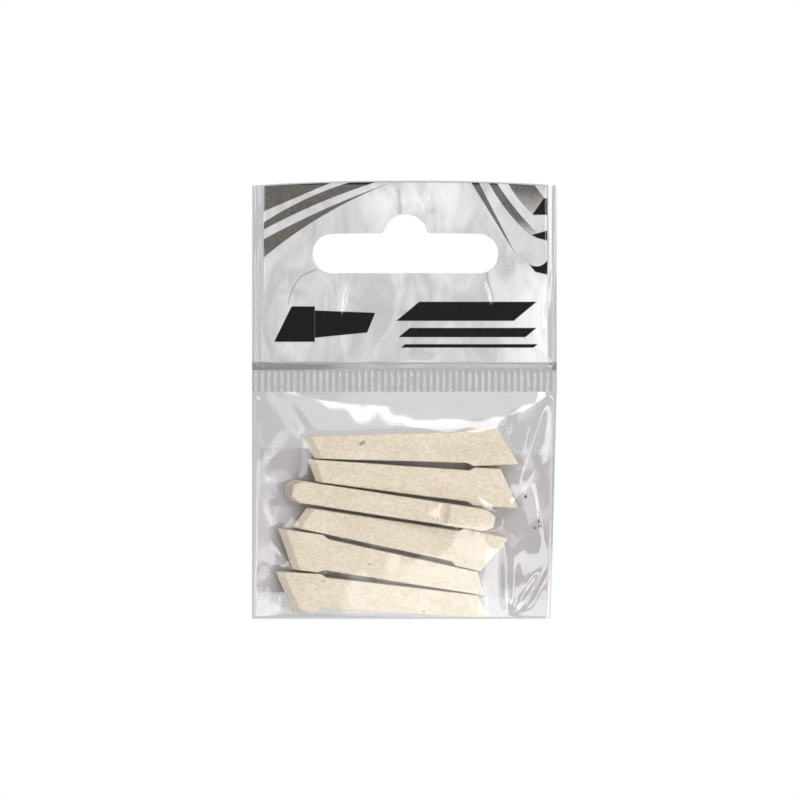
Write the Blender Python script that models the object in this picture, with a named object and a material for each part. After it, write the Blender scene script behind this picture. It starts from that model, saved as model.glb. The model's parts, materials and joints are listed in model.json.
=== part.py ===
"""A retail hang pouch of six spare chisel nibs for a broad marker.

A clear film bag hangs from a peg by a euro slot. A folded card stands in the bag's head, a ribbed
heat seal closes the pouch under it, a paper label sits on the back, and six felt nibs lie loose
inside: five flat and one on its edge.

The origin is the peg's seat, the top of the slot's bump, halfway through the head's thickness.
+Z is up, +X is to the right from the front, and the front faces -Y. All sizes are in metres.
"""

import math

import bmesh
import bpy
from mathutils import Matrix, Vector

# Euro slot: a stadium with a round bump on top, whose crown is the origin.
SLOT_WIDTH = 0.032
SLOT_HEIGHT = 0.0069
SLOT_TOTAL_HEIGHT = 0.0102
BUMP_RADIUS = 0.0038
ARC_STEPS = 12

# Folded header card, centred on the slot.
CARD_WIDTH = 0.0488
CARD_TOP = 0.0055
CARD_BOTTOM = -0.0255
CARD_PLY = 0.00025
CARD_GAP = 0.00008

# Film bag. Its left weld stands further out from the slot than its right weld does.
BAG_LEFT = -0.0264
BAG_RIGHT = 0.0260
BAG_TOP = 0.0057
BAG_BOTTOM = -0.0696
BOTTOM_DRAWN_IN = 0.0010
FILM = 0.00008
FILM_TO_CARD = 0.00006

# Ribbed heat seal, and the bare strip of film above it that folds.
FOLD_Z = -0.0266
SEAL_TOP = FOLD_Z - 0.0003
SEAL_BOTTOM = -0.0306
SEAL_RIBS = 47
SEAL_WEB = 0.00014
RIB_HEIGHT = 0.00016

# How far the film stands out around the nibs, and over what run it rises from each edge.
POUCH_TOP = SEAL_BOTTOM - 0.0003
RIM_GAP = 0.00006
FRONT_BULGE = 0.0034
EDGE_NIB_BULGE = 0.0026
EDGE_NIB_SPREAD = 0.0065
BACK_BULGE = 0.00150
SIDE_RUN = 0.0060
BOTTOM_RUN = 0.0010
TOP_RUN = 0.0085
FILM_COLUMNS = 26
FILM_ROWS = 26

# Paper label on the outside of the pouch's back.
LABEL_WIDTH = 0.0506
LABEL_HEIGHT = 0.0250
LABEL_CENTRE_Z = -0.0533
LABEL_TILT = math.radians(-1.6)
LABEL_THICKNESS = 0.0001
LABEL_LIFT = 0.00025

# One chisel nib: a slanted head, a small shoulder, and a shank that tapers on one side only.
NIB_THICKNESS = 0.00365
NIB_HEAD_HEIGHT = 0.0065
NIB_HEAD_LONG = 0.0078
NIB_HEAD_SHORT = 0.0044
NIB_SHOULDER_STEP = 0.0006
NIB_SHOULDER_RAMP = 0.0009
NIB_SHANK_LONG = 0.0287
NIB_SHANK_SHORT = 0.0271
NIB_TAIL_HIGH = 0.00295
NIB_TAIL_LOW = -0.0008
NIB_END_CHAMFER = 0.0013
NIB_BLUNT_SHARE = 0.5
NIB_BACK_Y = 0.0012

# Each nib: where its shoulder's middle lies (x, z), the way its head points (degrees up from +X),
# and how it lies: "flat", "flipped" over on its other face, or on its "edge".
NIB_LAYOUT = (
    (0.0114, -0.04005, 2.4, "flat"),
    (0.0117, -0.0468, -3.4, "flat"),
    (0.0075, -0.0516, -8.6, "edge"),
    (0.0093, -0.0572, -12.8, "flipped"),
    (-0.0146, -0.05835, 171.7, "flat"),
    (-0.0147, -0.06505, 177.4, "flat"),
)


def clear_scene():
    for item in list(bpy.data.objects):
        bpy.data.objects.remove(item, do_unlink=True)


def material(name, colour, roughness, metallic=0.0, alpha=1.0):
    made = bpy.data.materials.new(name)
    made.use_nodes = True
    shader = made.node_tree.nodes["Principled BSDF"]
    shader.inputs["Base Color"].default_value = (*colour, 1.0)
    shader.inputs["Roughness"].default_value = roughness
    shader.inputs["Metallic"].default_value = metallic
    shader.inputs["Alpha"].default_value = alpha
    return made


def add_object(name, shape, finish, parent=None):
    """Turns a bmesh into a named object with its faces pointing out."""
    bmesh.ops.recalc_face_normals(shape, faces=shape.faces)
    mesh = bpy.data.meshes.new(name)
    shape.to_mesh(mesh)
    shape.free()
    mesh.materials.append(finish)
    made = bpy.data.objects.new(name, mesh)
    bpy.context.scene.collection.objects.link(made)
    if parent is not None:
        made.parent = parent
        made.matrix_parent_inverse = Matrix.Translation(-parent.location)
    return made


def loft(rings):
    """A closed solid through rings of the same number of points, capped at both ends."""
    shape = bmesh.new()
    loops = [[shape.verts.new(point) for point in ring] for ring in rings]
    for lower, upper in zip(loops, loops[1:]):
        for index in range(len(lower)):
            after = (index + 1) % len(lower)
            shape.faces.new((lower[index], lower[after], upper[after], upper[index]))
    shape.faces.new(loops[0])
    shape.faces.new(loops[-1])
    return shape


def arc(centre_x, centre_z, radius, start, end):
    """Points along an arc in the XZ plane, from one angle to the other in degrees."""
    points = []
    for step in range(ARC_STEPS + 1):
        angle = math.radians(start + (end - start) * step / ARC_STEPS)
        points.append((centre_x + radius * math.cos(angle), centre_z + radius * math.sin(angle)))
    return points


def slot_outline():
    """The euro slot seen from the front, starting at its right end and running round anticlockwise."""
    radius = SLOT_HEIGHT / 2
    middle_z = radius - SLOT_TOTAL_HEIGHT
    end_x = SLOT_WIDTH / 2 - radius
    bump_z = -BUMP_RADIUS
    meet = math.degrees(math.asin((middle_z + radius - bump_z) / BUMP_RADIUS))
    outline = arc(end_x, middle_z, radius, -90, 90)
    outline += arc(0.0, bump_z, BUMP_RADIUS, meet, 180 - meet)
    outline += arc(-end_x, middle_z, radius, 90, 270)
    return outline


def slot_cutter():
    depth = 0.003
    rings = [[(x, y, z) for x, z in slot_outline()] for y in (-depth, depth)]
    cutter = add_object("slot_cutter", loft(rings), material("cutter", (1.0, 0.0, 0.0), 0.5))
    cutter.hide_render = True
    cutter.display_type = "WIRE"
    return cutter


def punch(target, cutter):
    cut = target.modifiers.new("euro_slot", "BOOLEAN")
    cut.operation = "DIFFERENCE"
    cut.solver = "EXACT"
    cut.object = cutter


def header_card(cutter, finish):
    """One card folded over at the top: a front panel, a fold and a back panel, punched through."""
    inner = CARD_GAP / 2
    outer = inner + CARD_PLY
    fold_z = CARD_TOP - outer
    profile = [(-outer, CARD_BOTTOM), (-outer, fold_z)]
    profile += [(-outer * math.cos(a), fold_z + outer * math.sin(a)) for a in fold_angles()]
    profile += [(outer, fold_z), (outer, CARD_BOTTOM), (inner, CARD_BOTTOM), (inner, fold_z)]
    profile += [(-inner, fold_z), (-inner, CARD_BOTTOM)]
    half = CARD_WIDTH / 2
    rings = [[(x, y, z) for y, z in profile] for x in (-half, half)]
    card = add_object("header_card", loft(rings), finish)
    punch(card, cutter)
    return card


def fold_angles():
    """Angles over the outside of the card's fold, leaving out both ends."""
    steps = 6
    return [math.pi * step / steps for step in range(1, steps)]


def header_film(name, side, cutter, finish):
    """One flat ply of the bag over the card: side -1 is the front ply and +1 the back ply."""
    near = side * (CARD_GAP / 2 + CARD_PLY + FILM_TO_CARD)
    far = near + side * FILM
    corners = ((BAG_LEFT, CARD_BOTTOM), (BAG_RIGHT, CARD_BOTTOM), (BAG_RIGHT, BAG_TOP), (BAG_LEFT, BAG_TOP))
    rings = [[(x, y, z) for x, z in corners] for y in (near, far)]
    film = add_object(name, loft(rings), finish)
    punch(film, cutter)
    return film


def crimp_seal(finish, parent):
    """The two plies welded together and pressed into vertical ribs on both faces."""
    pitch = (BAG_RIGHT - BAG_LEFT) / SEAL_RIBS
    rib_profile = ((0.0, 0.0), (0.3, 1.0), (0.6, 1.0), (0.9, 0.0))
    front = []
    for rib in range(SEAL_RIBS):
        for along, rise in rib_profile:
            front.append((BAG_LEFT + (rib + along) * pitch, rise))
    front.append((BAG_RIGHT, 0.0))
    outline = [(x, -SEAL_WEB / 2 - rise * RIB_HEIGHT / 2) for x, rise in front]
    outline += [(x, SEAL_WEB / 2 - rise * RIB_HEIGHT / 2 + RIB_HEIGHT / 2) for x, rise in reversed(front)]
    rings = [[(x, y, z) for x, y in outline] for z in (SEAL_BOTTOM, SEAL_TOP)]
    return add_object("crimp_seal", loft(rings), finish, parent)


def side_x(side, z):
    """Where a side weld runs at height z. The right one is drawn in towards the bottom."""
    if side < 0:
        return BAG_LEFT
    share = (POUCH_TOP - z) / (POUCH_TOP - BAG_BOTTOM)
    return BAG_RIGHT - BOTTOM_DRAWN_IN * share


def rise(distance, run):
    """0 at an edge and 1 from one run inwards, along a quarter of a circle."""
    share = min(max(distance / run, 0.0), 1.0)
    return math.sqrt(1.0 - (1.0 - share) ** 2)


def fullness(x, z):
    """How full the pouch is, from 0 on its welded edges to 1 over the nibs."""
    across = rise(x - side_x(-1, z), SIDE_RUN) * rise(side_x(1, z) - x, SIDE_RUN)
    below = rise(z - BAG_BOTTOM, BOTTOM_RUN)
    above = math.sin(math.pi / 2 * min((POUCH_TOP - z) / TOP_RUN, 1.0))
    return across * below * above


def edge_nib_tent(x, z):
    """How much further the front film stands out over the nib on its edge, 0 to 1."""
    shoulder_x, shoulder_z, heading, _ = NIB_LAYOUT[2]
    along = Vector((math.cos(math.radians(heading)), math.sin(math.radians(heading))))
    offset = Vector((x - shoulder_x, z - shoulder_z))
    beside = offset.cross(along)
    behind = max(-offset.dot(along), 0.0)
    slope = 1.0 - 0.75 * min(behind / NIB_SHANK_LONG, 1.0)
    return slope * math.exp(-((beside / EDGE_NIB_SPREAD) ** 2))


def front_y(x, z):
    stand_out = FRONT_BULGE + EDGE_NIB_BULGE * edge_nib_tent(x, z)
    return -RIM_GAP - fullness(x, z) * stand_out


def back_y(x, z):
    return RIM_GAP + fullness(x, z) * BACK_BULGE


def eased(share):
    """Spaces a grid closer together towards both of its ends."""
    return (1.0 - math.cos(math.pi * share)) / 2


def curved_sheet(name, columns, rows, place, surface_y, thickness, finish, parent):
    """A thin closed sheet over a grid. Place gives x and z, and surface_y its inner face."""
    shape = bmesh.new()
    layers = []
    for offset in (0.0, thickness):
        grid = []
        for row in range(rows + 1):
            points = [place(column / columns, row / rows) for column in range(columns + 1)]
            grid.append([shape.verts.new((x, surface_y(x, z) + offset, z)) for x, z in points])
        layers.append(grid)
    for grid in layers:
        for row in range(rows):
            for column in range(columns):
                shape.faces.new((grid[row][column], grid[row][column + 1],
                                 grid[row + 1][column + 1], grid[row + 1][column]))
    inner_rim, outer_rim = (grid_rim(grid) for grid in layers)
    for index in range(len(inner_rim)):
        after = (index + 1) % len(inner_rim)
        shape.faces.new((inner_rim[index], inner_rim[after], outer_rim[after], outer_rim[index]))
    made = add_object(name, shape, finish, parent)
    made.data.shade_smooth()
    made.data.set_sharp_from_angle(angle=math.radians(40))
    return made


def grid_rim(grid):
    """The vertices once round the outside of a grid."""
    rim = list(grid[0])
    rim += [row[-1] for row in grid[1:]]
    rim += list(reversed(grid[-1][:-1]))
    rim += [row[0] for row in reversed(grid[1:-1])]
    return rim


def pouch_place(across, down):
    z = POUCH_TOP + (BAG_BOTTOM - POUCH_TOP) * eased(down)
    x = side_x(-1, z) + (side_x(1, z) - side_x(-1, z)) * eased(across)
    return x, z


def label_place(across, down):
    along = (across - 0.5) * LABEL_WIDTH
    up = (0.5 - down) * LABEL_HEIGHT
    turn = Matrix.Rotation(LABEL_TILT, 2)
    x, z = turn @ Vector((along, up))
    return x, LABEL_CENTRE_Z + z


def label_y(x, z):
    return back_y(x, z) + FILM + LABEL_LIFT


def nib_outline(chamfered):
    """The nib seen on its broad face: x runs towards the head, from the shoulder's middle.

    With chamfered True both slanted ends are set back, as on the nib's two broad faces."""
    high = NIB_HEAD_HEIGHT / 2
    step_high = high - NIB_SHOULDER_STEP
    head_slant = math.atan2(NIB_HEAD_LONG - NIB_HEAD_SHORT, NIB_HEAD_HEIGHT)
    tail_slant = math.atan2(NIB_SHANK_LONG - NIB_SHANK_SHORT, NIB_TAIL_HIGH - NIB_TAIL_LOW)
    head_back = NIB_END_CHAMFER / math.cos(head_slant) if chamfered else 0.0
    tail_back = NIB_END_CHAMFER / math.cos(tail_slant) if chamfered else 0.0
    under_slope = (NIB_TAIL_LOW + step_high) / (NIB_SHANK_SHORT - NIB_SHOULDER_RAMP)
    return [
        (NIB_HEAD_LONG - head_back, -high),
        (NIB_HEAD_SHORT - head_back, high),
        (0.0, high),
        (-NIB_SHOULDER_RAMP, step_high),
        (-NIB_SHANK_LONG + tail_back, NIB_TAIL_HIGH),
        (-NIB_SHANK_SHORT + tail_back, NIB_TAIL_LOW - tail_back * under_slope),
        (-NIB_SHOULDER_RAMP, -step_high),
        (0.0, -high),
    ]


def nib_mesh():
    half = NIB_THICKNESS / 2
    blunt = half * NIB_BLUNT_SHARE
    levels = ((-half, True), (-blunt, False), (blunt, False), (half, True))
    return loft([[(x, y, z) for x, z in nib_outline(chamfered)] for y, chamfered in levels])


def nib(number, layout, finish, parent):
    """Stands one nib in the pouch, with its origin on its slide axis."""
    x, z, heading, lie = layout
    roll = {"flat": 0.0, "flipped": math.pi, "edge": -math.pi / 2}[lie]
    depth = NIB_HEAD_HEIGHT if lie == "edge" else NIB_THICKNESS
    made = add_object(f"nib_{number}", nib_mesh(), finish, parent)
    place = Matrix.Translation((x, NIB_BACK_Y - depth / 2, z))
    turn = Matrix.Rotation(-math.radians(heading), 4, "Y") @ Matrix.Rotation(roll, 4, "X")
    made.matrix_basis = place @ turn
    return made


def build():
    clear_scene()
    film = material("clear_film", (0.80, 0.80, 0.81), 0.12, alpha=0.35)
    seal = material("sealed_film", (0.74, 0.74, 0.75), 0.25, alpha=0.7)
    card = material("printed_card", (0.82, 0.82, 0.82), 0.55)
    paper = material("label_paper", (0.78, 0.78, 0.79), 0.7)
    felt = material("nib_felt", (0.77, 0.69, 0.54), 0.9)

    cutter = slot_cutter()
    header_card(cutter, card)
    header_film("header_film_front", -1, cutter, film)
    header_film("header_film_back", 1, cutter, film)

    fold = bpy.data.objects.new("fold_axis", None)
    fold.location = (0.0, 0.0, FOLD_Z)
    bpy.context.scene.collection.objects.link(fold)
    crimp_seal(seal, fold)
    curved_sheet("pouch_film_front", FILM_COLUMNS, FILM_ROWS, pouch_place, front_y, -FILM, film, fold)
    curved_sheet("pouch_film_back", FILM_COLUMNS, FILM_ROWS, pouch_place, back_y, FILM, film, fold)
    curved_sheet("back_label", 24, 12, label_place, label_y, LABEL_THICKNESS, paper, fold)
    for index, layout in enumerate(NIB_LAYOUT):
        nib(index + 1, layout, felt, fold)


build()
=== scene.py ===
"""The looks of a hang pouch of six chisel marker nibs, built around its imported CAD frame.

Everything is in metres in the row frame: +Z up, +X right from the front, the front faces -Y, and the
origin is the crown of the euro slot's bump.
"""

import json
import math

import bmesh
import bpy
import numpy as np
from mathutils import Matrix, Vector, noise
from mathutils.bvhtree import BVHTree


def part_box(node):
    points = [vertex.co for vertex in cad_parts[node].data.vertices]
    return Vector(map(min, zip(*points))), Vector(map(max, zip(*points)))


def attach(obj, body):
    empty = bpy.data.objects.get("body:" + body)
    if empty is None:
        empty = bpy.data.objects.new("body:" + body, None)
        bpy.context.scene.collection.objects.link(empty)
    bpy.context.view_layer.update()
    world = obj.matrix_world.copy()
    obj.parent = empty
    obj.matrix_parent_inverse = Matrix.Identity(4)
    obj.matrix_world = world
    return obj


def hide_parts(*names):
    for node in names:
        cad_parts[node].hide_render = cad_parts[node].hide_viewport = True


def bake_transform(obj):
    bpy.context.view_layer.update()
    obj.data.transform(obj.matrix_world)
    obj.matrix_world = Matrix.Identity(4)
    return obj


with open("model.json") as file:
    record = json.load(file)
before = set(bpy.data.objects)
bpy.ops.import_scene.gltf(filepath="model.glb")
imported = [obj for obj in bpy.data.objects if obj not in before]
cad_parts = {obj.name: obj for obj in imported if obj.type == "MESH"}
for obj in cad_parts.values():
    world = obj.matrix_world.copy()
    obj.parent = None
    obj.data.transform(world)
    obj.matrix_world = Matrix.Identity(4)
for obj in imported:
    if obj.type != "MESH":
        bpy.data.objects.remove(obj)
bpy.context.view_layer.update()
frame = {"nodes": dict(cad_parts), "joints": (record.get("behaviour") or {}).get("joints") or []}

MM = 0.001

# Where the CAD puts things.
CARD_LOW, CARD_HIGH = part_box("header_card")
FILM_LOW, FILM_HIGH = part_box("header_film_front")
SEAL_LOW, SEAL_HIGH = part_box("crimp_seal")
POUCH_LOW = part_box("pouch_film_front")[0]
LABEL_LOW, LABEL_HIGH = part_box("back_label")
NIB_NAMES = [f"nib_{number}" for number in range(1, 7)]

# Film and card plies: how thick they are and how far they stand from the middle, the film's index of
# refraction, and the head film's grid cell.
FILM = 0.04 * MM
FILM_IOR = 1.5
CARD_PLY = 0.25 * MM
CARD_FACE = CARD_HIGH.y
FILM_FACE = CARD_FACE + 0.05 * MM
WELD_GAP = 0.02 * MM
HEAD_CELL = 0.45 * MM

# Euro slot.
SLOT_WIDTH = 32.0 * MM
SLOT_HEIGHT = 6.9 * MM
SLOT_TOTAL_HEIGHT = 10.2 * MM
BUMP_RADIUS = 3.8 * MM
BUMP_FILLET = 0.7 * MM

# Ribbed seal.
RIBS = 47
RIB_HEIGHT = 0.20 * MM
RIB_LENGTH = 3.7 * MM

# The pouch: its grid cell, its side welds' width, how much its right side is drawn in at the bottom,
# how high the film starts to turn under at the bottom fold, and how far it stays clear of the nibs.
POUCH_CELL = 0.28 * MM
POUCH_WELD = 0.7 * MM
DRAWN_IN = 1.0 * MM
TURN = 0.5 * MM
NIB_CLEARANCE = 0.18 * MM

# Label on the back of the pouch, its paper's thickness, and the gap between it and the film.
LABEL_WIDTH = 50.6 * MM
LABEL_HEIGHT = 25.0 * MM
LABEL_TILT = math.radians(-1.6)
LABEL_PAPER = 0.08 * MM
LABEL_GAP = 0.05 * MM

# The nib on its edge goes down by this much for each millimetre to the right.
EDGE_NIB_SLOPE = 0.163

# Rays start this far out from the bag's middle, well clear of everything.
OUTSIDE = 100 * MM

# Felt: how finely the nibs are remeshed, and how far the felt stands out past the cut shape to make up
# for its softened corners.
FELT_CELL = 0.15 * MM
FELT_SWELL = 0.03 * MM

# Edges that are bent by more than this stay sharp.
SHARP = math.radians(40)

# How bright the surroundings are: as light from the front and the back, as seen in a mirror, and as
# seen through the film.
FRONT_LIGHT = 0.44
BACK_LIGHT = 0.38
MIRRORED_FRONT = 0.03
MIRRORED_BACK = 0.80
BEHIND_FILM = 0.66


# ---------------------------------------------------------------- node graphs


class Graph:
    """A material's nodes, built by short calls. Positions in it are the row frame's, in metres."""

    def __init__(self, name):
        self.material = bpy.data.materials.new(name)
        self.material.use_nodes = True
        self.tree = self.material.node_tree
        self.tree.nodes.clear()
        self.output = self.node("ShaderNodeOutputMaterial")
        self.place = self.node("ShaderNodeTexCoord").outputs["Object"]
        split = self.node("ShaderNodeSeparateXYZ")
        self.link(self.place, split.inputs[0])
        self.x, self.y, self.z = split.outputs

    def node(self, kind, **settings):
        made = self.tree.nodes.new(kind)
        for name, value in settings.items():
            setattr(made, name, value)
        return made

    def link(self, source, target):
        self.tree.links.new(source, target)

    def feed(self, socket, value):
        if isinstance(value, bpy.types.NodeSocket):
            self.link(value, socket)
        else:
            socket.default_value = value

    def maths(self, operation, *values, clamp=False):
        made = self.node("ShaderNodeMath", operation=operation, use_clamp=clamp)
        for socket, value in zip(made.inputs, values):
            self.feed(socket, value)
        return made.outputs[0]

    def add(self, a, b):
        return self.maths("ADD", a, b)

    def times(self, a, b):
        return self.maths("MULTIPLY", a, b)

    def over(self, value, edge, soft):
        """0 where value is below edge and 1 above it, over a ramp soft wide."""
        return self.maths("MULTIPLY_ADD", value, 1 / soft, 0.5 - edge / soft, clamp=True)

    def mapped(self, stretch, shift):
        """The position, scaled by stretch and moved by shift."""
        mapping = self.node("ShaderNodeMapping")
        mapping.inputs["Scale"].default_value = stretch
        mapping.inputs["Location"].default_value = shift
        self.link(self.place, mapping.inputs["Vector"])
        return mapping.outputs[0]

    def noise(self, scale, detail=3.0, roughness=0.5, stretch=(1, 1, 1), shift=(0, 0, 0), distortion=0.0):
        place = self.mapped(stretch, shift)
        texture = self.node("ShaderNodeTexNoise")
        texture.inputs["Scale"].default_value = scale
        texture.inputs["Detail"].default_value = detail
        texture.inputs["Roughness"].default_value = roughness
        texture.inputs["Distortion"].default_value = distortion
        self.link(place, texture.inputs["Vector"])
        return texture.outputs[0]

    def spots(self, scale, size, stretch, shift):
        """Small separate spots: 1 inside each, where size is their share of the cell."""
        place = self.mapped(stretch, shift)
        cells = self.node("ShaderNodeTexVoronoi", feature="F1")
        cells.inputs["Scale"].default_value = scale
        self.link(place, cells.inputs["Vector"])
        return self.maths("SUBTRACT", 1.0, self.over(cells.outputs["Distance"], size, size * 0.5))

    def ramp(self, value, *stops):
        made = self.node("ShaderNodeValToRGB")
        ramp = made.color_ramp
        while len(ramp.elements) < len(stops):
            ramp.elements.new(0.5)
        for element, (place, colour) in zip(ramp.elements, stops):
            element.position = place
            element.color = (*colour, 1.0)
        self.feed(made.inputs[0], value)
        return made.outputs[0]

    def mix(self, share, a, b):
        made = self.node("ShaderNodeMix", data_type="RGBA")
        self.feed(made.inputs["Factor"], share)
        for socket, value in ((made.inputs["A"], a), (made.inputs["B"], b)):
            self.feed(socket, (*value, 1.0) if isinstance(value, tuple) else value)
        return made.outputs["Result"]

    def blend_shaders(self, share, a, b):
        made = self.node("ShaderNodeMixShader")
        self.feed(made.inputs[0], share)
        self.link(a, made.inputs[1])
        self.link(b, made.inputs[2])
        return made.outputs[0]

    def bump(self, height, distance, strength):
        made = self.node("ShaderNodeBump")
        made.inputs["Strength"].default_value = strength
        made.inputs["Distance"].default_value = distance
        self.link(height, made.inputs["Height"])
        return made.outputs[0]

    def principled(self, colour, roughness, normal=None, **values):
        made = self.node("ShaderNodeBsdfPrincipled")
        self.feed(made.inputs["Base Color"], (*colour, 1.0) if isinstance(colour, tuple) else colour)
        self.feed(made.inputs["Roughness"], roughness)
        for name, value in values.items():
            made.inputs[name.replace("_", " ")].default_value = value
        if normal is not None:
            self.link(normal, made.inputs["Normal"])
        return made.outputs[0]

    def finish(self, shader):
        self.link(shader, self.output.inputs["Surface"])
        return self.material

    # Printed shapes: each is 1 inside and 0 outside.

    def polygon(self, points, soft=0.05 * MM):
        """A convex shape in the XZ plane, its corners listed anticlockwise seen from the front."""
        inside = None
        for (x0, z0), (x1, z1) in zip(points, points[1:] + points[:1]):
            length = math.hypot(x1 - x0, z1 - z0)
            nx, nz = -(z1 - z0) / length, (x1 - x0) / length
            across = self.maths("MULTIPLY_ADD", self.x, nx, -(nx * x0 + nz * z0))
            reach = self.maths("MULTIPLY_ADD", self.z, nz, across)
            inside = reach if inside is None else self.maths("MINIMUM", inside, reach)
        return self.over(inside, 0.0, soft)

    def within(self, start, middle, end, soft=0.06 * MM):
        """The inside of the circle through three points in the XZ plane."""
        cx, cz, radius = circle_through(start, middle, end)
        dx = self.add(self.x, -cx)
        dz = self.add(self.z, -cz)
        squares = self.maths("MULTIPLY_ADD", dx, dx, self.times(dz, dz))
        return self.over(self.times(self.maths("SQRT", squares), -1.0), -radius, soft)

    def outside(self, *points, soft=0.06 * MM):
        return self.maths("SUBTRACT", 1.0, self.within(*points, soft=soft))

    def line(self, start, end, width):
        """A soft line between two points in the XZ plane, strongest along its middle."""
        (x0, z0), (x1, z1) = start, end
        dx, dz = x1 - x0, z1 - z0
        square = dx * dx + dz * dz
        from_x = self.add(self.x, -x0)
        from_z = self.add(self.z, -z0)
        along_x = self.times(from_x, dx / square)
        along = self.maths("MULTIPLY_ADD", from_z, dz / square, along_x, clamp=True)
        off_x = self.maths("MULTIPLY_ADD", along, -dx, from_x)
        off_z = self.maths("MULTIPLY_ADD", along, -dz, from_z)
        squares = self.maths("MULTIPLY_ADD", off_x, off_x, self.times(off_z, off_z))
        return self.over(self.times(self.maths("SQRT", squares), -1.0), -width / 2, width)


def circle_through(a, b, c):
    """Centre and radius of the circle through three points."""
    (ax, az), (bx, bz), (cx, cz) = a, b, c
    d = 2 * (ax * (bz - cz) + bx * (cz - az) + cx * (az - bz))
    sa, sb, sc = (p[0] ** 2 + p[1] ** 2 for p in (a, b, c))
    x = (sa * (bz - cz) + sb * (cz - az) + sc * (az - bz)) / d
    z = (sa * (cx - bx) + sb * (ax - cx) + sc * (bx - ax)) / d
    return x, z, math.hypot(ax - x, az - z)


# ------------------------------------------------------------------ materials


# Stains on the nibs: by nib number, where each starts and ends in millimetres, and its width.
STAINS = {
    1: (((-7.7, -39.55), (-7.2, -39.25), 0.45),),
    6: (((3.1, -68.2), (3.2, -68.2), 0.30),),
}


def felt_material(number, stains):
    """Pressed fibre: cream, fine grain along the nib, faint mottling and a few stray dark fibres."""
    g = Graph(f"felt_{number}")
    shift = (0.013 * number, 0.007 * number, 0.003 * number)
    fibres = g.noise(2600, 4.0, 0.65, (0.6, 1, 1), shift, 0.4)
    pores = g.noise(5200, 3.0, 0.6, (0.6, 1, 1), shift)
    clouds = g.noise(240, 3.0, 0.5, (0.5, 1, 1), shift)
    tone = g.ramp(clouds, (0.30, (0.785, 0.702, 0.565)), (0.72, (0.870, 0.801, 0.673)))
    grain = g.ramp(fibres, (0.38, (0.74, 0.71, 0.65)), (0.60, (1.0, 1.0, 1.0)))
    multiply = g.node("ShaderNodeMix", data_type="RGBA", blend_type="MULTIPLY")
    multiply.inputs["Factor"].default_value = 0.60
    g.link(tone, multiply.inputs["A"])
    g.link(grain, multiply.inputs["B"])
    flecks = g.spots(230, 0.045, (0.45, 1, 1), shift)
    colour = g.mix(g.times(flecks, 0.45), multiply.outputs["Result"], (0.36, 0.29, 0.20))
    if stains:
        stained = either(g, *[g.line(*stain) for stain in stains])
        colour = g.mix(g.times(stained, g.maths("LESS_THAN", g.y, 0.0)), colour, (0.28, 0.21, 0.15))
    height = g.maths("MULTIPLY_ADD", pores, 0.6, fibres)
    normal = g.bump(height, 0.05 * MM, 1.0)
    felt = g.principled(
        colour, 0.92, normal, Sheen_Weight=0.25, Sheen_Roughness=0.6, Specular_IOR_Level=0.2
    )
    return g.finish(felt)


# Specks caught in the film: where each starts and ends, in millimetres, and its width.
DIRT = (
    (((20.5, -48.5), (20.6, -48.55)), 0.28),
    (((22.8, -52.6), (22.9, -53.1)), 0.16),
    (((22.1, -53.9), (22.2, -54.0)), 0.20),
    (((22.9, -53.6), (22.9, -53.7)), 0.18),
)


def clear_film(g, tint, haze, normal, roughness):
    """Film that passes light tinted by tint and mirrors by angle, with a share haze of milkiness."""
    clear = g.node("ShaderNodeBsdfTransparent")
    g.feed(clear.inputs["Color"], (*tint, 1.0) if isinstance(tint, tuple) else tint)
    sheen = g.principled((0.80, 0.80, 0.81), 0.25, normal)
    mirror = g.node("ShaderNodeBsdfGlossy")
    mirror.inputs["Color"].default_value = (1.0, 1.0, 1.0, 1.0)
    g.feed(mirror.inputs["Roughness"], roughness)
    g.link(normal, mirror.inputs["Normal"])
    fresnel = g.node("ShaderNodeFresnel")
    # Light leaves the film as easily as it enters: the node turns this ratio over on the inside.
    inside = g.node("ShaderNodeNewGeometry").outputs["Backfacing"]
    g.link(g.maths("MULTIPLY_ADD", inside, 1 / FILM_IOR - FILM_IOR, FILM_IOR), fresnel.inputs["IOR"])
    g.link(normal, fresnel.inputs["Normal"])
    hazed = g.blend_shaders(haze, clear.outputs[0], sheen)
    return g.blend_shaders(fresnel.outputs[0], hazed, mirror.outputs[0])


def film_material(name, tint, haze, dirt=()):
    """Thin clear film with faint waves and fine scuffs, tinted greyer in the strip between the seal and
    the card.
    """
    g = Graph(name)
    waves_in_it = g.noise(260, 2.0, 0.5, distortion=0.3)
    scuffs = g.noise(3000, 4.0, 0.6, (1, 1, 0.25))
    above_seal = g.over(g.z, SEAL_HIGH.z, 0.2 * MM)
    below_card = g.over(g.times(g.z, -1.0), -CARD_LOW.z, 0.3 * MM)
    # Greyer tint in the strip between the seal and the card.
    strip_tint = tuple(0.84 * share for share in tint)
    colour = g.mix(g.times(above_seal, below_card), tint, strip_tint)
    normal = g.bump(waves_in_it, 0.02 * MM, 0.6)
    roughness = g.maths("MULTIPLY_ADD", scuffs, 0.10, 0.03)
    film = clear_film(g, colour, haze, normal, roughness)
    if dirt:
        specks = either(g, *[g.line(*in_mm(*ends), size * MM) for ends, size in dirt])
        film = g.blend_shaders(g.times(specks, 0.85), film, g.principled((0.10, 0.02, 0.03), 0.8))
    return g.finish(film)


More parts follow.
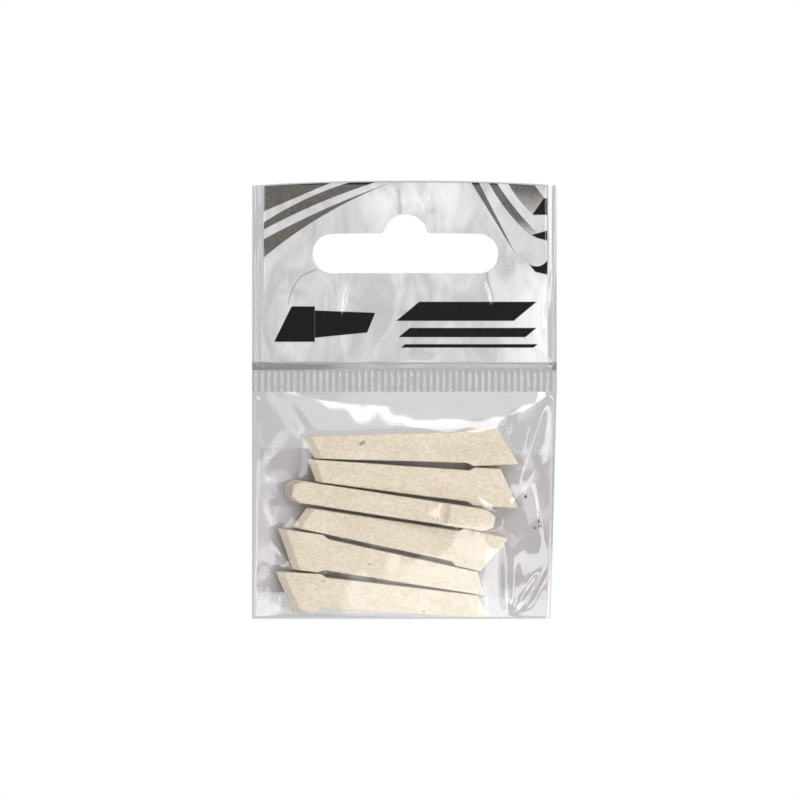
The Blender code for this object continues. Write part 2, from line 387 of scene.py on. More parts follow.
def seal_material():
    """Two welded plies: greyer and milkier than the single film, whitened along the ribs."""
    g = Graph("sealed_film")
    pitch = (SEAL_HIGH.x - SEAL_LOW.x) / RIBS
    phase = g.maths("MULTIPLY_ADD", g.x, 2 * math.pi / pitch, -2 * math.pi * SEAL_LOW.x / pitch)
    on_rib = g.over(g.times(g.maths("COSINE", phase), -1.0), 0.45, 0.6)
    off_middle = g.maths("ABSOLUTE", g.add(g.z, -(SEAL_LOW.z + SEAL_HIGH.z) / 2))
    on_rib = g.times(on_rib, g.over(g.times(off_middle, -1.0), -RIB_LENGTH / 2, 0.3 * MM))
    patchy = g.noise(260, 3.0, 0.6, (1, 1, 0.5))
    streaks = g.noise(900, 3.0, 0.6, (2, 1, 0.3))
    haze = g.maths("MULTIPLY_ADD", g.times(on_rib, patchy), 0.40, 0.09)
    film = clear_film(g, (0.79, 0.785, 0.79), haze, g.bump(streaks, 0.02 * MM, 0.5), 0.12)
    return g.finish(film)


def front_facing(g):
    """1 on faces that look towards -Y and 0 on the others."""
    geometry = g.node("ShaderNodeNewGeometry")
    split = g.node("ShaderNodeSeparateXYZ")
    g.link(geometry.outputs["True Normal"], split.inputs[0])
    return g.maths("LESS_THAN", split.outputs[1], 0.0)


def in_mm(*points):
    return [(x * MM, z * MM) for x, z in points]


def arc_band(g, upper, lower):
    """The stretch between two arcs, each given by three points on it."""
    return g.times(g.within(*in_mm(*upper)), g.outside(*in_mm(*lower)))


def either(g, *masks):
    joined = masks[0]
    for mask in masks[1:]:
        joined = g.maths("MAXIMUM", joined, mask)
    return joined


def card_arcs(g):
    """Dark grey arcs that sweep across the card's two top corners."""
    corner = g.polygon(in_mm((-24.6, 0.4), (-12.3, 5.6), (-12.3, 7), (-24.6, 7)))
    second = arc_band(
        g, ((-24.36, -1.4), (-15.3, 3.4), (-9.2, 5.56)), ((-24.3, -2.6), (-15.3, 1.7), (-4.8, 5.56))
    )
    third = arc_band(
        g, ((-24.36, -4.3), (-15.3, 0.2), (-3.0, 5.2)), ((-24.3, -7.4), (-15.4, -1.0), (-3.0, 5.16))
    )
    left_side = g.maths("LESS_THAN", g.x, -3.0 * MM)
    left = g.times(either(g, corner, second, third), left_side)

    thin = g.polygon(in_mm((10.3, 7.0), (19.0, -7.05), (11.8, 7.0)))
    middle = arc_band(
        g, ((14.2, 5.56), (17.6, 0.4), (20.8, -3.1)), ((15.6, 5.56), (18.9, 0.9), (22.5, -3.1))
    )
    middle = g.times(middle, g.over(g.z, -2.6 * MM, 3.4 * MM))
    wide = g.within(*in_mm((17.6, 5.4), (19.9, 2.0), (22.3, -0.4)))
    edges = in_mm((16, -1), (22.0, -1), (24.2, 2.3), (21.7, 5.7), (20.7, 7), (16, 7))
    wide = g.times(wide, g.polygon(edges))
    wide = g.times(wide, g.over(g.z, 0.8 * MM, 7.0 * MM))
    right_side = g.maths("GREATER_THAN", g.x, 10.0 * MM)
    right = g.times(either(g, thin, middle, wide), right_side)
    return either(g, left, right)


def card_blacks(g):
    """Plain black wedges on the right edge, and a nib's outline beside three strokes it could draw."""
    wedges = (
        ((21.8, -0.12), (24.5, -0.15), (24.5, 2.75), (23.8, 2.7)),
        ((21.65, -3.6), (22.6, -4.1), (24.5, -4.6), (24.5, -2.8)),
    )
    horn = g.polygon(in_mm((21.2, -8.55), (22.3, -9.95), (24.5, -10.45), (24.5, -7.7)))
    horn = g.times(horn, g.outside(*in_mm((21.2, -8.55), (22.6, -9.0), (24.5, -7.7))))
    nib_head = ((-22.6, -22.0), (-15.6, -22.0), (-15.6, -15.9), (-19.6, -15.9))
    nib_shank = ((-15.6, -21.3), (-6.6, -20.4), (-5.2, -17.0), (-15.6, -16.6))
    strokes = (
        stroke(-1.6, 18.6, -18.4, 3.3),
        stroke(-1.2, 20.6, -21.2, 1.6),
        stroke(-0.8, 22.0, -23.0, 0.6),
    )
    shapes = (*wedges, nib_head, nib_shank, *strokes)
    return either(g, horn, *[g.polygon(in_mm(*shape)) for shape in shapes])


def stroke(left, right, low, height):
    """Corners of a slanted stroke, all in millimetres."""
    lean = 1.2 * height
    return (left, low), (right, low), (right + lean, low + height), (left + lean, low + height)


def card_material():
    """White board with print on its front, cracks running from the slot, and a crease above it, with
    painted shade along the crease and painted sheen: clouds and paler patches that stand in for the
    film's reflections.
    """
    g = Graph("printed_card")
    mottle = g.noise(190, 6.0, 0.62, (1, 1, 0.55), distortion=1.2)
    fine = g.noise(2400, 3.0, 0.6)
    # Painted sheen: the board's grey-white clouds stand in partly for the film's soft reflections, and it
    # is painted paler along its right edge and above the slot.
    right_edge = g.line(*in_mm((23.0, -13.0), (23.0, -26.0)), 6.0 * MM)
    above_slot = g.line(*in_mm((-3, 2), (6, 3)), 6.0 * MM)
    painted_sheen = either(g, right_edge, above_slot)
    board_and_painted_sheen_clouds = g.ramp(mottle, (0.36, (0.56, 0.56, 0.565)), (0.64, (0.77, 0.77, 0.775)))
    board = g.mix(g.times(painted_sheen, g.over(mottle, 0.42, 0.25)), board_and_painted_sheen_clouds, (0.93, 0.93, 0.93))
    fronts = front_facing(g)
    near_fold = g.over(g.z, CARD_HIGH.z - 0.45 * MM, 0.15 * MM)
    wear = g.add(g.times(fine, 0.6), g.times(mottle, 0.4))
    rubbed = g.ramp(wear, (0.35, (0.100, 0.093, 0.084)), (0.68, (0.205, 0.192, 0.175)))
    arc_ink = g.mix(near_fold, rubbed, (0.012, 0.011, 0.010))
    colour = g.mix(g.times(card_arcs(g), fronts), board, arc_ink)
    colour = g.mix(g.times(card_blacks(g), fronts), colour, (0.005, 0.005, 0.005))
    left_crack = (
        (-15.4, -9.5), (-16.4, -10.0), (-17.95, -10.7), (-18.85, -11.9), (-19.7, -13.5), (-20.2, -15.4)
    )
    right_crack = ((14.0, -10.15), (14.2, -11.7), (14.8, -13.5), (15.05, -14.7))
    cracked = either(g, *[
        g.line(*in_mm(*ends), 0.16 * MM)
        for crack in (left_crack, right_crack)
        for ends in zip(crack, crack[1:])
    ])
    creased = g.line(*in_mm((-1.25, 3.9), (-0.85, -0.2)), 0.55 * MM)
    stain = g.line(*in_mm((16.4, -7.6), (17.2, -9.6)), 2.2 * MM)
    stained = g.times(stain, g.over(fine, 0.48, 0.25))
    # Darker along the cracks and at the stain; the darkening along the crease is painted shade.
    marks_and_crease_shade = either(g, g.times(cracked, 0.8), g.times(creased, 0.45), g.times(stained, 0.45))
    colour = g.mix(marks_and_crease_shade, colour, (0.30, 0.29, 0.28))
    relief = g.maths("MULTIPLY_ADD", fine, 0.25, g.times(marks_and_crease_shade, -1.5))
    normal = g.bump(relief, 0.05 * MM, 0.7)
    return g.finish(g.principled(colour, 0.45, normal, Specular_IOR_Level=0.12))


def label_material():
    """Plain grey-white label paper with fine fibres and faint clouds."""
    g = Graph("label_paper")
    fibres = g.noise(2800, 4.0, 0.6, (0.5, 1, 1), distortion=0.6)
    clouds = g.noise(160, 3.0)
    paper = g.ramp(clouds, (0.3, (0.57, 0.56, 0.565)), (0.7, (0.63, 0.615, 0.62)))
    return g.finish(g.principled(paper, 0.7, g.bump(fibres, 0.02 * MM, 0.6), Specular_IOR_Level=0.3))


# ------------------------------------------------------------- shape building


def new_object(name, mesh, material):
    mesh.materials.clear()
    mesh.materials.append(material)
    made = bpy.data.objects.new(name, mesh)
    bpy.context.scene.collection.objects.link(made)
    mesh.shade_smooth()
    return made


def sheet_between(name, near, far, material):
    """A closed thin solid between two grids of points, each an array of rows x columns x 3."""
    rows, columns = near.shape[:2]
    index = np.arange(rows * columns).reshape(rows, columns)
    corners = (index[:-1, :-1], index[:-1, 1:], index[1:, 1:], index[1:, :-1])
    quads = np.stack(corners, axis=-1).reshape(-1, 4)
    rim = np.concatenate([index[0, :-1], index[:-1, -1], index[-1, :0:-1], index[:0:-1, 0]])
    after = np.roll(rim, -1)
    total = rows * columns
    sides = np.stack([after, rim, rim + total, after + total], axis=-1)
    faces = np.concatenate([quads, quads[:, ::-1] + total, sides])
    points = np.concatenate([near.reshape(-1, 3), far.reshape(-1, 3)])
    mesh = bpy.data.meshes.new(name)
    mesh.from_pydata(points.tolist(), [], faces.tolist())
    mesh.update()
    made = new_object(name, mesh, material)
    shape = bmesh.new()
    shape.from_mesh(mesh)
    bmesh.ops.recalc_face_normals(shape, faces=shape.faces)
    shape.to_mesh(mesh)
    shape.free()
    mesh.set_sharp_from_angle(angle=SHARP)
    return made


def apply_modifiers(item):
    """Makes what the modifiers do part of the item's own mesh."""
    graph = bpy.context.evaluated_depsgraph_get()
    mesh = bpy.data.meshes.new_from_object(item.evaluated_get(graph), depsgraph=graph)
    item.modifiers.clear()
    item.data = mesh


def points_of(item):
    flat = np.empty(len(item.data.vertices) * 3)
    item.data.vertices.foreach_get("co", flat)
    return flat.reshape(-1, 3)


def set_points(item, points):
    item.data.vertices.foreach_set("co", points.ravel())
    item.data.update()


def arc_points(x, z, radius, start, end, steps=16):
    angles = np.radians(np.linspace(start, end, steps + 1))
    return [(x + radius * math.cos(a), z + radius * math.sin(a)) for a in angles]


def slot_cutter():
    """The euro slot's outline, with small fillets where the bump meets the straight, as a cutter."""
    radius = SLOT_HEIGHT / 2
    middle_z = radius - SLOT_TOTAL_HEIGHT
    top_z = middle_z + radius
    end_x = SLOT_WIDTH / 2 - radius
    fillet_z = top_z + BUMP_FILLET
    rise = fillet_z + BUMP_RADIUS
    fillet_x = math.sqrt((BUMP_RADIUS + BUMP_FILLET) ** 2 - rise**2)
    meet = math.degrees(math.atan2(rise, fillet_x))
    outline = arc_points(end_x, middle_z, radius, -90, 90, 24)
    outline += arc_points(fillet_x, fillet_z, BUMP_FILLET, 270, 180 + meet, 6)
    outline += arc_points(0.0, -BUMP_RADIUS, BUMP_RADIUS, meet, 180 - meet, 32)[1:-1]
    outline += arc_points(-fillet_x, fillet_z, BUMP_FILLET, -meet, -90, 6)
    outline += arc_points(-end_x, middle_z, radius, 90, 270, 24)
    reach = 4 * MM
    shape = bmesh.new()
    face = shape.faces.new([shape.verts.new((x, -reach, z)) for x, z in outline])
    pushed = bmesh.ops.extrude_face_region(shape, geom=[face])["geom"]
    moved = [v for v in pushed if isinstance(v, bmesh.types.BMVert)]
    bmesh.ops.translate(shape, verts=moved, vec=(0, 2 * reach, 0))
    bmesh.ops.recalc_face_normals(shape, faces=shape.faces)
    mesh = bpy.data.meshes.new("slot_cutter")
    shape.to_mesh(mesh)
    shape.free()
    cutter = bpy.data.objects.new("slot_cutter", mesh)
    bpy.context.scene.collection.objects.link(cutter)
    return cutter


def punch(item, cutter):
    cut = item.modifiers.new("slot", "BOOLEAN")
    cut.operation = "DIFFERENCE"
    cut.solver = "EXACT"
    cut.object = cutter
    apply_modifiers(item)


def waves(x, z, length, seed, count=9):
    """Smooth irregular ripples between about -1 and 1, of roughly one wavelength."""
    random = np.random.default_rng(seed)
    total = np.zeros_like(x)
    for _ in range(count):
        angle, phase = random.uniform(0, 2 * math.pi, 2)
        share = random.uniform(0.7, 1.5)
        along = (x * math.cos(angle) + z * math.sin(angle)) * 2 * math.pi / (length * share)
        total += np.sin(along + phase)
    return total / math.sqrt(count)


def facets(x, z, length, seed, count=5):
    """Flat facets that meet in sharp folds, as in crumpled film, between about -1 and 1."""
    random = np.random.default_rng(seed)
    bend = length * 0.22
    total = np.zeros_like(x)
    for _ in range(count):
        angle, phase = random.uniform(0, 2 * math.pi), random.uniform(0, 1)
        share = random.uniform(0.7, 1.6)
        wander = bend * waves(x, z, length * 2.5, random.integers(1000), 4)
        along = (x * math.cos(angle) + z * math.sin(angle) + wander) / (length * share) + phase
        total += 4 * np.abs(along - np.floor(along) - 0.5) - 1
    return total / math.sqrt(count)


def creases(x, z, folds):
    """Soft ridges along folds, each given as start, end, height and half width in millimetres."""
    total = np.zeros_like(x)
    for start, end, height, width in folds:
        from_x, from_z = x - start[0] * MM, z - start[1] * MM
        dx, dz = (end[0] - start[0]) * MM, (end[1] - start[1]) * MM
        along = (from_x * dx + from_z * dz) / (dx * dx + dz * dz)
        near = np.clip(along, 0, 1)
        square = (from_x - near * dx) ** 2 + (from_z - near * dz) ** 2
        taper = 0.35 + 0.65 * np.sin(math.pi * np.clip(along, 0.0, 1.0))
        total += height * MM * taper * np.exp(-square / (width * MM) ** 2)
    return total


def ease(value, start, end):
    """0 where value is at start, 1 where it is at end, smooth between."""
    share = np.clip((value - start) / (end - start), 0, 1)
    return share * share * (3 - 2 * share)


# ------------------------------------------------------------------- the head


def head_bow(x, z):
    """How far the head's plies stand back together: its top corners curl away and its board ripples."""
    above_seal = ease(z, SEAL_HIGH.z, FILM_HIGH.z)
    curl = 0.9 * MM * (x / FILM_HIGH.x) ** 2 * above_seal
    ripple = 0.10 * MM * waves(x, z, 22 * MM, 5) * ease(z, SEAL_HIGH.z, SEAL_HIGH.z + 5 * MM)
    return curl + ripple


def head_warp(points):
    """Bows the head's points back and lets its curled top corners drop."""
    x, y, z = points.T.copy()
    drop = 0.75 * MM * (np.abs(x) / FILM_HIGH.x) ** 2.4 * ease(z, -14 * MM, FILM_HIGH.z)
    return np.stack([x, y + head_bow(x, z), z - drop], axis=-1)


# Creases in the film over the head: start and end as X and Z, height and half width, all in millimetres.
HEAD_FOLDS = (
    ((-8.2, -9.2), (-10.6, -18.6), 0.24, 0.9),
    ((-7.0, -9.9), (-9.4, -15.0), 0.12, 0.45),
    ((12.4, -9.9), (14.6, -17.5), 0.24, 0.9),
    ((-1.4, 5.2), (-0.8, 0.4), 0.14, 0.4),
    ((-7.5, 3.8), (-7.2, -2.6), 0.08, 0.5),
    ((3.0, 4.8), (9.5, 1.0), 0.10, 1.0),
    ((8.0, 3.8), (12.5, -2.2), 0.08, 0.8),
    ((24.2, -9.5), (22.6, -22.0), 0.22, 0.8),
    ((-24.0, -8.0), (-24.9, -22.0), 0.18, 0.6),
    ((-21.5, -17.0), (-23.6, -13.5), 0.10, 0.4),
)


def film_stand_off(x, z):
    """How far each head ply of film stands from the middle, over the card and down to the welds."""
    weld = 0.6 * MM
    inside = ease(x, FILM_LOW.x + weld, CARD_LOW.x) * ease(-x, -FILM_HIGH.x + weld, -CARD_HIGH.x)
    above = ease(z, SEAL_HIGH.z, CARD_LOW.z)
    return WELD_GAP + (FILM_FACE - WELD_GAP) * inside * above


def head_film(name, side, material, cutter):
    """One ply of film over the card and down to the seal: the front one for side -1, the back for +1."""
    columns = round((FILM_HIGH.x - FILM_LOW.x) / HEAD_CELL)
    rows = round((FILM_HIGH.z - SEAL_HIGH.z) / HEAD_CELL)
    across = np.linspace(FILM_LOW.x, FILM_HIGH.x, columns)
    x, z = np.meshgrid(across, np.linspace(SEAL_HIGH.z, FILM_HIGH.z, rows))
    flat = np.stack([x, np.zeros_like(x), z], axis=-1)
    made = sheet_between(name, flat, flat + (0, side * FILM, 0), material)
    punch(made, cutter)
    points = points_of(made)
    x, z = points[:, 0], points[:, 2]
    margin = 2 * MM
    free = ease(z, SEAL_HIGH.z, SEAL_HIGH.z + margin) * ease(x, FILM_LOW.x, FILM_LOW.x + margin)
    free *= ease(-x, -FILM_HIGH.x, -FILM_HIGH.x + margin)
    crinkle = 0.05 * MM * (1 + facets(x, z, 9 * MM, 11 + side)) + creases(x, z, HEAD_FOLDS)
    points[:, 1] += side * (film_stand_off(x, z) + np.clip(crinkle, 0, 0.3 * MM) * free)
    set_points(made, head_warp(points))
    made.data.set_sharp_from_angle(angle=SHARP)
    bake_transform(made)
    return made


def header_card(material, cutter):
    """The folded board: two panels joined by the bend at the top."""
    outer = CARD_FACE
    inner = outer - CARD_PLY
    middle = (outer + inner) / 2
    fold_z = CARD_HIGH.z - outer
    panel = np.linspace(CARD_LOW.z, fold_z, 70)
    bend = np.radians(np.linspace(0, 180, 9))[1:-1]
    centre = [(-middle, z) for z in panel]
    centre += [(-middle * math.cos(a), fold_z + middle * math.sin(a)) for a in bend]
    centre += [(middle, z) for z in panel[::-1]]
    centre = np.array(centre)
    along = np.gradient(centre, axis=0)
    along /= np.linalg.norm(along, axis=1)[:, None]
    away = np.stack([-along[:, 1], along[:, 0]], axis=-1) * CARD_PLY / 2
    xs = np.linspace(CARD_LOW.x, CARD_HIGH.x, 110)

    def surface(profile):
        rows = np.repeat(profile[:, None, :], len(xs), axis=1)
        across = np.broadcast_to(xs[None, :, None], (*rows.shape[:2], 1))
        return np.concatenate([across, rows], axis=-1)

    made = sheet_between("card", surface(centre - away), surface(centre + away), material)
    punch(made, cutter)
    set_points(made, head_warp(points_of(made)))
    made.data.set_sharp_from_angle(angle=SHARP)
    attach(made, "header")
    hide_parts("header_card")
    return made


# ------------------------------------------------------------------- the seal


def crimp_seal(material):
    """The welded strip, pressed into upright ribs that swell into a bead at each end."""
    across = np.linspace(SEAL_LOW.x, SEAL_HIGH.x, RIBS * 12 + 1)
    x, z = np.meshgrid(across, np.linspace(SEAL_LOW.z, SEAL_HIGH.z, 45))
    pitch = (SEAL_HIGH.x - SEAL_LOW.x) / RIBS
    bar = ease(-np.cos(2 * math.pi * (x - SEAL_LOW.x) / pitch), -0.8, 1.0)
    half = RIB_LENGTH / 2
    off = np.abs(z - (SEAL_LOW.z + SEAL_HIGH.z) / 2)
    length = 1 - ease(off, half - 0.4 * MM, half)
    bead = np.exp(-(((off - half + 0.5 * MM) / (0.22 * MM)) ** 2))
    uneven = 0.9 + 0.15 * waves(x, z * 0.3, 5 * MM, 3)
    rib = RIB_HEIGHT * bar * length * (0.6 + 0.8 * bead) * uneven
    skin = WELD_GAP + FILM
    near = np.stack([x, -skin - rib, z], axis=-1)
    made = sheet_between("seal", near, near + (0, 2 * skin, 0), material)
    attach(made, "pouch")
    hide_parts("crimp_seal")
    return made


# ------------------------------------------------------------------ the pouch


def slide_joint(name):
    return next(j for j in frame["joints"] if j["child"] == name)


def slide_axis(name):
    return Vector(slide_joint(name)["axis"]).normalized()


def nib_tree():
    """All six CAD nibs, at rest and at both limits of their slides, as one tree to cast rays at."""
    points, faces = [], []
    for name in NIB_NAMES:
        mesh = frame["nodes"][name].data
        for slid in (0.0, *slide_joint(name)["range_m"]):
            first = len(points)
            points += [v.co + slid * slide_axis(name) for v in mesh.vertices]
            faces += [[first + i for i in p.vertices] for p in mesh.polygons]
    return BVHTree.FromPolygons(points, faces)


def nib_heights(tree, x, z, side):
    """How far the nibs stand out on one side of the bag at each grid point, or 0 beside them."""
    heights = np.zeros(x.shape)
    for place in np.ndindex(x.shape):
        hit = tree.ray_cast(Vector((x[place], side * OUTSIDE, z[place])), Vector((0, -side, 0)))[0]
        if hit is not None:
            heights[place] = max(side * hit.y, 0.0)
    return heights


def eased_down(heights, drop, steps=20):
    """The heights with skirts round them that go down by drop from each grid point to the next."""
    skirted = heights.copy()
    for _ in range(steps):
        wide = np.pad(skirted, 1)
        beside = np.maximum.reduce([wide[:-2, 1:-1], wide[2:, 1:-1], wide[1:-1, :-2], wide[1:-1, 2:]])
        corner = np.maximum.reduce([wide[:-2, :-2], wide[2:, 2:], wide[2:, :-2], wide[:-2, 2:]])
        skirted = np.maximum.reduce([skirted, beside - drop, corner - 1.414 * drop])
    return skirted


def stretched_over(heights, lift, fixed, rounds=2500):
    """A taut film, pinned where fixed is set and held up by heights, which each round lifts by lift."""
    film = np.maximum(heights, 0)
    for _ in range(rounds):
        around = (film[:-2, 1:-1] + film[2:, 1:-1] + film[1:-1, :-2] + film[1:-1, 2:]) / 4
        film[1:-1, 1:-1] = np.maximum(around + lift[1:-1, 1:-1], heights[1:-1, 1:-1])
        film[-1] = film[-2]
        film[fixed] = WELD_GAP
    return film


def pouch_grid():
    """X and Z of the film's grid, from the seal down to where it starts to turn under."""
    low = POUCH_LOW.z + TURN
    columns = round((FILM_HIGH.x - FILM_LOW.x) / POUCH_CELL) + 1
    rows = round((SEAL_LOW.z - low) / POUCH_CELL) + 1
    z = np.linspace(SEAL_LOW.z, low, rows)[:, None].repeat(columns, axis=1)
    across = np.linspace(0, 1, columns)[None, :].repeat(rows, axis=0)
    right = FILM_HIGH.x - DRAWN_IN * (SEAL_LOW.z - z) / (SEAL_LOW.z - POUCH_LOW.z)
    x = FILM_LOW.x + across * (right - FILM_LOW.x)
    return x, z


def turned_under(x, z, film, side):
    """The film's grid with the rows added that curve under to the bottom fold."""
    turn = np.radians(np.linspace(0, 90, 9))[1:, None]
    under_y = WELD_GAP + (film[-1] - WELD_GAP) * np.cos(turn)
    under_z = POUCH_LOW.z + TURN * (1 - np.sin(turn)) + 0 * film[-1]
    all_x = np.concatenate([x, np.repeat(x[-1:], len(turn), axis=0)])
    all_y = side * np.concatenate([film, under_y])
    return np.stack([all_x, all_y, np.concatenate([z, under_z])], axis=-1)


def outward(grid, side):
    """Unit normals of a grid of points, pointing to the front for side -1 and to the back for +1."""
    normals = np.cross(np.gradient(grid, axis=1), np.gradient(grid, axis=0))
    return side * normals / np.linalg.norm(normals, axis=2, keepdims=True)


# Creases in the pouch's two plies, given as the head's are.
FRONT_FOLDS = (
    ((24.6, -31.2), (19.6, -45.5), 0.30, 0.8),
    ((22.6, -47.0), (24.6, -57.5), 0.25, 0.6),
    ((17.2, -57.2), (17.4, -68.0), 0.45, 0.8),
    ((19.5, -68.5), (24.5, -60.5), 0.30, 0.8),
    ((-25.6, -68.0), (-22.6, -64.5), 0.25, 0.5),
    ((-24.0, -66.0), (-22.0, -60.0), 0.15, 0.6),
)
BACK_FOLDS = (
    ((-20.0, -33.0), (-12.0, -45.0), 0.20, 0.8),
    ((18.0, -34.0), (12.0, -50.0), 0.25, 0.9),
    ((-18.0, -68.0), (-6.0, -52.0), 0.25, 0.9),
)


def blown_out(x, z, side):
    """How strongly the film bulges at each grid point, as a curvature: most of all over the nibs."""
    above_nibs = 1 - ease(-z, 36 * MM, 39 * MM)
    above_edge_nib = ease(z + EDGE_NIB_SLOPE * x, -52 * MM, -49 * MM)
    if side > 0:
        return 5.0 + 20.0 * above_nibs
    return 5.0 + 80.0 * above_nibs + 24.0 * above_edge_nib * (1 - above_nibs)


def pouch_crumple(x, z, side):
    """Facets beside the nibs, broader ones at the lower right, faint waves all over, and creases."""
    beside = np.maximum(ease(x, 14 * MM, 20 * MM), ease(-x, 19 * MM, 23 * MM))
    crumple = 0.07 * MM * facets(x, z, 9 * MM, 21 + side) * beside + 0.02 * MM * waves(x, z, 6 * MM, 8)
    broad = 0.08 * MM * facets(x, z, 15 * MM, 31 + side, 3)
    crumple += broad * ease(x, 15 * MM, 19 * MM) * ease(-z, 44 * MM, 50 * MM)
    return crumple + creases(x, z, BACK_FOLDS if side > 0 else FRONT_FOLDS)


def pouch_film(name, side, tree, material):
    """One ply of the pouch, drawn over the nibs from weld to weld, round the fold at its bottom."""
    x, z = pouch_grid()
    heights = nib_heights(tree, x, z, side)
    raised = np.where(heights > 0, heights + NIB_CLEARANCE, 0)
    fixed = np.zeros(x.shape, bool)
    weld = round(POUCH_WELD / POUCH_CELL)
    fixed[0, :] = True
    fixed[:, : weld + 1] = fixed[:, -weld - 1 :] = True
    to_weld = np.minimum(x - FILM_LOW.x, FILM_HIGH.x - x) - POUCH_WELD
    room = to_weld * ease(-z, -SEAL_LOW.z, -SEAL_LOW.z + 4 * MM)
    skirted = np.maximum(np.minimum(eased_down(raised, 0.7 * POUCH_CELL), room), raised)
    film = stretched_over(skirted, blown_out(x, z, side) * POUCH_CELL * POUCH_CELL / 4, fixed)
    free = np.clip((film - raised) / (0.8 * MM), 0, 1) * (1 - fixed)
    below_seal = ease(-z, -SEAL_LOW.z, -SEAL_LOW.z + 1 * MM)
    free *= below_seal * ease(z, POUCH_LOW.z + TURN, POUCH_LOW.z + 3 * MM)
    film = np.maximum(film + pouch_crumple(x, z, side) * free, np.maximum(raised, WELD_GAP))
    near = turned_under(x, z, film, side)
    made = sheet_between(name, near, near + outward(near, side) * FILM, material)
    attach(made, "pouch")
    return made


def back_label(film_back, material):
    """A paper label stuck over the back of the pouch, following the film."""
    middle = (LABEL_LOW + LABEL_HIGH) / 2
    across, up = np.meshgrid(np.linspace(-0.5, 0.5, 97), np.linspace(-0.5, 0.5, 51))
    cosine, sine = math.cos(LABEL_TILT), math.sin(LABEL_TILT)
    x = middle.x + across * LABEL_WIDTH * cosine - up * LABEL_HEIGHT * sine
    z = middle.z + across * LABEL_WIDTH * sine + up * LABEL_HEIGHT * cosine
    tree = BVHTree.FromObject(film_back, bpy.context.evaluated_depsgraph_get())
    y = np.zeros_like(x)
    for place in np.ndindex(x.shape):
        hit = tree.ray_cast(Vector((x[place], OUTSIDE, z[place])), Vector((0, -1, 0)))[0]
        y[place] = hit.y if hit is not None else 0.0
    near = np.stack([x, y + LABEL_GAP, z], axis=-1)
    made = sheet_between("label", near, near + (0, LABEL_PAPER, 0), material)
    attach(made, "pouch")
    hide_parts("back_label")
    return made


# ------------------------------------------------------------------- the nibs


def felt_nib(number):
    """One nib with soft edges and a slightly uneven cut, built in its own frame with X along it."""
    name = NIB_NAMES[number - 1]
    low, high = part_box(name)
    along = slide_axis(name)
    depth = Vector((0, 1, 0))
    place = Matrix((along, depth, along.cross(depth))).transposed().to_4x4()
    place.translation = (low + high) / 2
    mesh = frame["nodes"][name].data.copy()
    mesh.transform(place.inverted())
    to_nib = place.inverted()
    stains = [
        (*[(to_nib @ Vector((x * MM, 0, z * MM))).xz for x, z in ends], width * MM)
        for *ends, width in STAINS.get(number, ())
    ]
    made = new_object(f"felt_{name}", mesh, felt_material(number, stains))
    remesh = made.modifiers.new("even", "REMESH")
    remesh.mode = "VOXEL"
    remesh.voxel_size = FELT_CELL
    smooth = made.modifiers.new("soft", "SMOOTH")
    smooth.factor = 0.5
    smooth.iterations = 2
    apply_modifiers(made)
    points = points_of(made)
    normals = np.array([v.normal for v in made.data.vertices])
    lumps = np.array([felt_relief(p, number) for p in points])
    set_points(made, points + normals * lumps[:, None])
    made.data.shade_smooth()
    made.matrix_world = place
    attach(made, name)
    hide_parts(name)
    return made


def felt_relief(point, number):
    """How far the felt's surface stands in or out at a point of a nib's own frame."""
    shifted = Vector(point) + Vector((0.05 * number, 0, 0))
    broad = noise.noise(shifted * 220)
    stretched = Vector((shifted.x * 0.25, shifted.y, shifted.z))
    return FELT_SWELL + 0.035 * MM * broad + 0.022 * MM * noise.noise(stretched * 1500)


# ------------------------------------------------------- lights, floor, camera


def softbox(name, place, aim, width, height, brightness, roll=0.0):
    """A rectangular light, as bright in a mirror as brightness says, with white paper at about 1."""
    light = bpy.data.lights.new(name, "AREA")
    light.shape = "RECTANGLE"
    light.size = width
    light.size_y = height
    light.energy = brightness * math.pi * width * height
    made = bpy.data.objects.new(name, light)
    bpy.context.scene.collection.objects.link(made)
    made.location = place
    turned = (Vector(aim) - Vector(place)).to_track_quat("-Z", "Y").to_matrix()
    made.rotation_euler = (turned @ Matrix.Rotation(math.radians(roll), 3, "Z")).to_euler()
    made.visible_camera = False
    return made


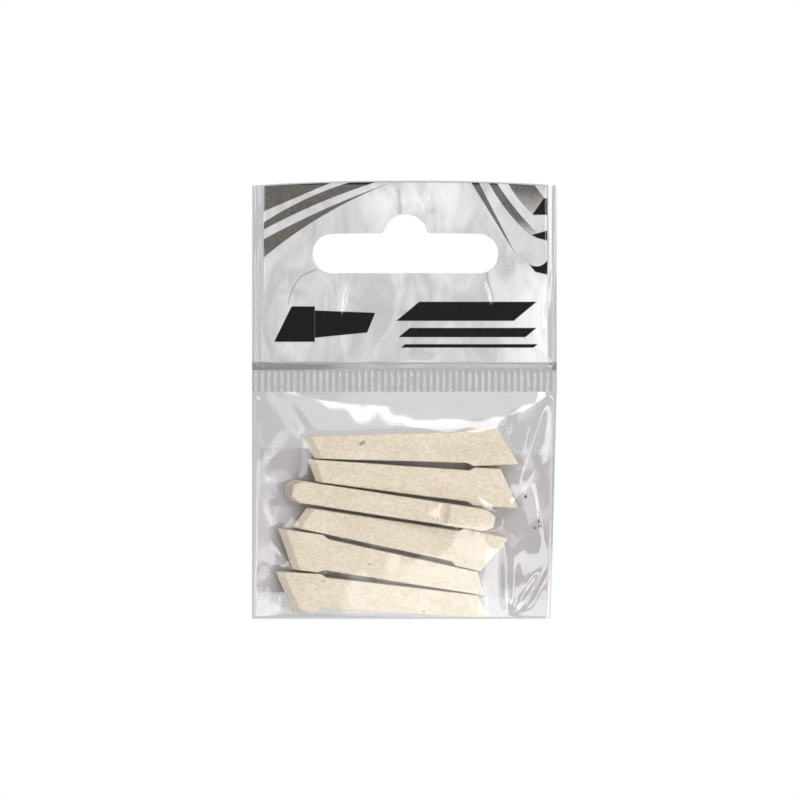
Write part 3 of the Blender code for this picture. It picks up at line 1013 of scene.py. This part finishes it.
def studio():
    """A white backdrop that is greyer behind the film, soft light, and softboxes for highlights."""
    world = bpy.data.worlds.new("studio")
    bpy.context.scene.world = world
    world.use_nodes = True
    tree = world.node_tree

    def maths(operation, *values):
        made = tree.nodes.new("ShaderNodeMath")
        made.operation = operation
        for socket, value in zip(made.inputs, values):
            if isinstance(value, float):
                socket.default_value = value
            else:
                tree.links.new(value, socket)
        return made.outputs[0]

    def choose(share, without, given):
        return maths("MULTIPLY_ADD", share, maths("SUBTRACT", given, without), without)

    path = tree.nodes.new("ShaderNodeLightPath")
    split = tree.nodes.new("ShaderNodeSeparateXYZ")
    tree.links.new(tree.nodes.new("ShaderNodeTexCoord").outputs["Generated"], split.inputs[0])
    frontness = maths("MAXIMUM", maths("MULTIPLY", split.outputs["Y"], -1.0), 0.0)
    light = maths("MULTIPLY_ADD", frontness, FRONT_LIGHT - BACK_LIGHT, BACK_LIGHT)
    sideways = maths("MULTIPLY_ADD", split.outputs["Y"], 1.6, 0.9)
    backness = maths("MINIMUM", maths("MAXIMUM", sideways, 0.0), 1.0)
    mirrored = maths("MULTIPLY_ADD", backness, MIRRORED_BACK - MIRRORED_FRONT, MIRRORED_FRONT)
    unveiled = maths("LESS_THAN", path.outputs["Transparent Depth"], 0.5)
    seen = choose(unveiled, BEHIND_FILM, 1.0)
    level = choose(path.outputs["Is Glossy Ray"], light, mirrored)
    level = choose(path.outputs["Is Camera Ray"], level, seen)
    background = tree.nodes["Background"]
    tree.links.new(level, background.inputs["Strength"])
    background.inputs["Color"].default_value = (1, 1, 1, 1)

    middle = (0.0, 0.0, -0.035)
    softbox("key", (0.30, -0.42, 0.30), middle, 0.30, 0.30, 3.2).visible_glossy = False
    softbox("back_key", (-0.30, 0.42, 0.30), middle, 0.30, 0.30, 6.0)
    softbox("arc", (0.070, -0.420, 0.222), middle, 0.17, 0.095, 5.0, roll=-31.0)
    softbox("arc_end", (-0.023, -0.350, 0.322), middle, 0.035, 0.20, 5.0, roll=10.0)
    softbox("right", (0.455, -0.40, -0.06), middle, 0.10, 0.40, 4.0)
    softbox("lower_right", (0.35, -0.48, -0.12), middle, 0.06, 0.20, 4.0)
    softbox("right_of_camera", (0.215, -0.55, -0.015), middle, 0.06, 0.20, 3.0)
    softbox("left_of_camera", (-0.215, -0.55, -0.015), middle, 0.06, 0.20, 3.0)
    softbox("left", (-0.45, -0.35, 0.0), middle, 0.04, 0.4, 0.7)
    softbox("window", (0.088, -0.30, -0.212), (0.088, 0.0, -0.212), 0.20, 0.29, 2.3, roll=10.0)
    softbox("corner", (0.150, -0.299, -0.201), (0.150, 0.0, -0.201), 0.075, 0.25, 2.5, roll=10.0)


def floor():
    shape = bmesh.new()
    bmesh.ops.create_circle(shape, cap_ends=True, segments=96, radius=0.60)
    mesh = bpy.data.meshes.new("floor")
    shape.to_mesh(mesh)
    shape.free()
    g = Graph("floor")
    clouds = g.noise(9, 2.0)
    g.finish(g.principled(g.ramp(clouds, (0.3, (0.80, 0.80, 0.80)), (0.7, (0.84, 0.84, 0.84))), 0.6))
    made = new_object("floor", mesh, g.material)
    made.location = (0, 0, -0.40)


def camera():
    """Square on to the front, far enough off to look nearly flat, as wide as the picture is."""
    lens = bpy.data.cameras.new("camera")
    lens.lens = 135
    lens.sensor_width = 36
    made = bpy.data.objects.new("camera", lens)
    bpy.context.scene.collection.objects.link(made)
    view_width = 137.6 * MM
    distance = view_width * lens.lens / lens.sensor_width
    made.location = (-0.95 * MM, -distance, -32.0 * MM)
    made.rotation_euler = (math.radians(90), 0, 0)
    bpy.context.scene.camera = made
    bpy.context.scene.view_settings.view_transform = "Standard"
    # Light on its way through two plies and back crosses many more clear surfaces than the usual limit.
    bpy.context.scene.cycles.transparent_max_bounces = 64


def build():
    camera()
    studio()
    floor()
    cutter = slot_cutter()
    front = film_material("film_front", (0.986, 0.982, 0.983), 0.003, DIRT)
    back = film_material("film_back", (0.972, 0.970, 0.973), 0.03)
    head_front = head_film("film_head_front", -1, front, cutter)
    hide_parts("header_film_front")
    head_back = head_film("film_head_back", 1, back, cutter)
    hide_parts("header_film_back")
    header_card(card_material(), cutter)
    bpy.data.objects.remove(cutter)
    crimp_seal(seal_material())
    tree = nib_tree()
    pouch_front = pouch_film("film_pouch_front", -1, tree, front)
    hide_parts("pouch_film_front")
    pouch_back = pouch_film("film_pouch_back", 1, tree, back)
    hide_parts("pouch_film_back")
    back_label(pouch_back, label_material())
    for number in range(1, len(NIB_NAMES) + 1):
        felt_nib(number)


build()
